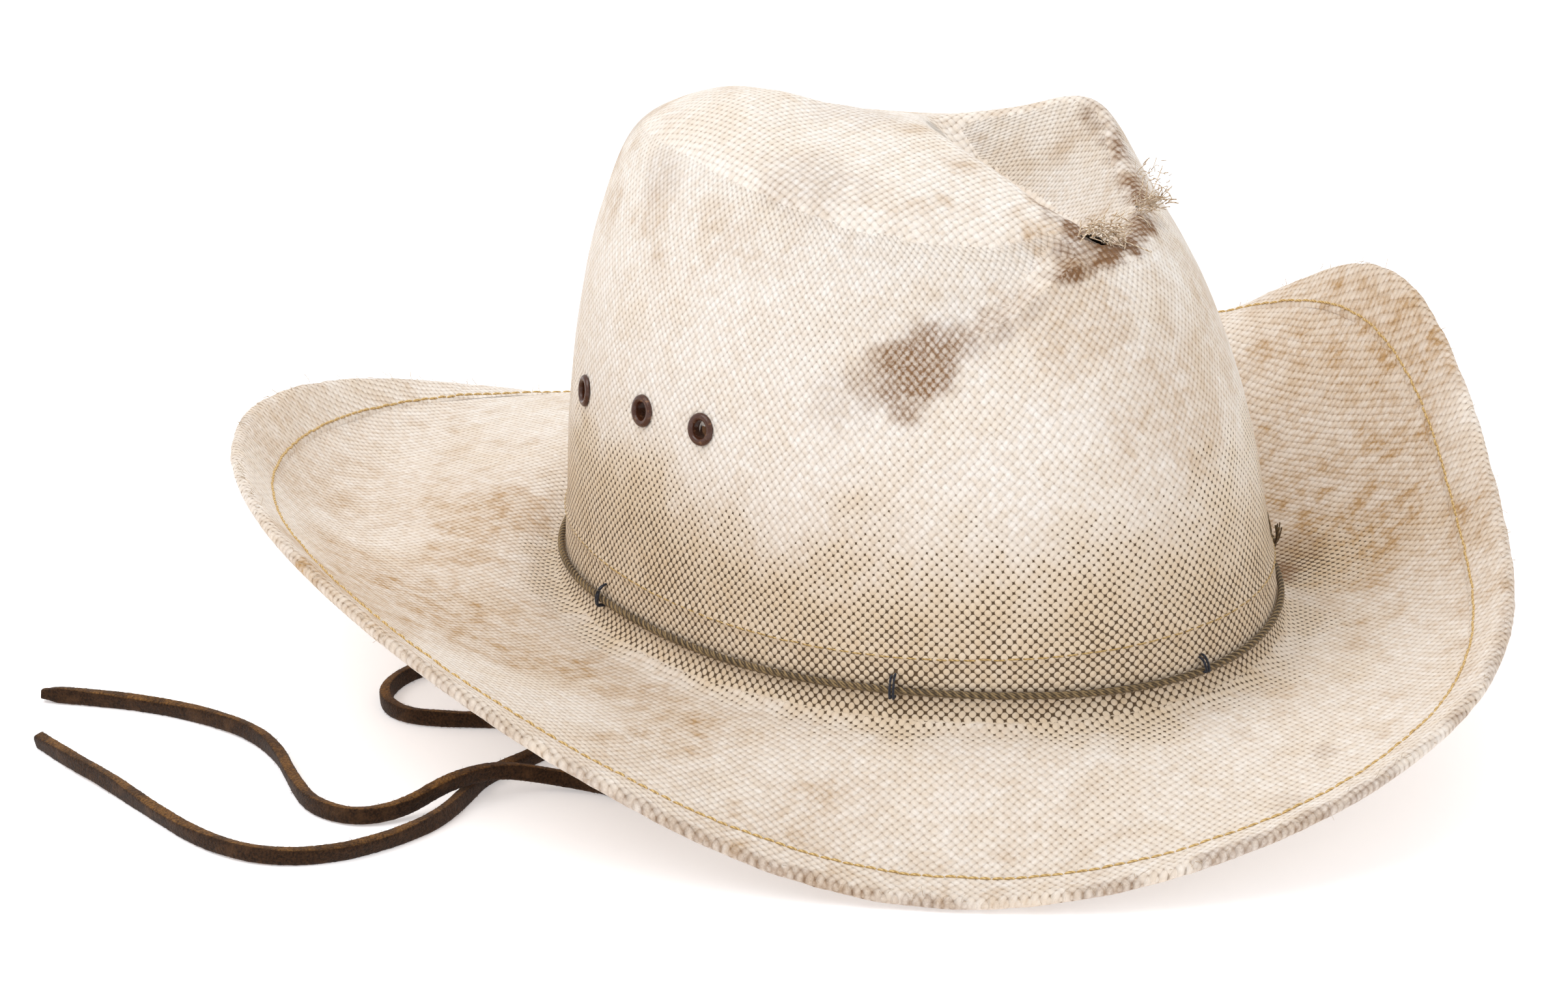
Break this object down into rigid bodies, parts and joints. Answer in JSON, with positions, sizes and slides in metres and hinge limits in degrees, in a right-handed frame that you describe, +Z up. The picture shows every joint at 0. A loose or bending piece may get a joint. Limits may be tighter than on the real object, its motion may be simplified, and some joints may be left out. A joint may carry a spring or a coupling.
{
  "type": "cowboy hat",
  "caption": "Worn woven-straw western hat with a pinched, creased crown, curled brim with a stitched turned edge, vent eyelets, twine at the crown base and a loose suede chin lace.",
  "frame": {"origin": "middle of the hat's plan box (laces left out), on the floor that the brim stands on", "axes": "+Z up; front of the hat -Y; wearer's left +X"},
  "size_m": [0.3769, 0.357, 0.1545],
  "materials": {
    "straw": "woven straw, bleached and sun-worn, grime in the weave",
    "hem_thread": "cotton stitching",
    "sweatband_leather": "worn brown leather",
    "bow_ribbon": "ribbon",
    "twine": "twisted dark twine",
    "tack_thread": "dark sewing thread",
    "lace_suede": "dark brown suede",
    "eyelet_enamel": "glossy brown enamel",
    "washer_metal": "dull brass"
  },
  "bodies": {
    "root": {"straw_body": "straw", "brim_hem_stitching": "hem_thread", "sweatband": "sweatband_leather", "sweatband_stitching": "hem_thread", "sweatband_bow": "bow_ribbon", "hatband_twine": "twine", "twine_knot": "twine", "tack_thread_side": "tack_thread", "tack_thread_front": "tack_thread", "tack_thread_left": "tack_thread", "lace_loop_right": "sweatband_leather", "lace_loop_left": "sweatband_leather", "lace_knot_right": "lace_suede", "lace_knot_left": "lace_suede", "chin_lace_right": "lace_suede", "chin_lace_left": "lace_suede", "eyelet_right_front": "eyelet_enamel", "eyelet_right_middle": "eyelet_enamel", "eyelet_right_rear": "eyelet_enamel", "eyelet_left_front": "eyelet_enamel", "eyelet_left_middle": "eyelet_enamel", "eyelet_left_rear": "eyelet_enamel", "washer_right_front": "washer_metal", "washer_right_middle": "washer_metal", "washer_right_rear": "washer_metal", "washer_left_front": "washer_metal", "washer_left_middle": "washer_metal", "washer_left_rear": "washer_metal"}
  },
  "joints": []
}
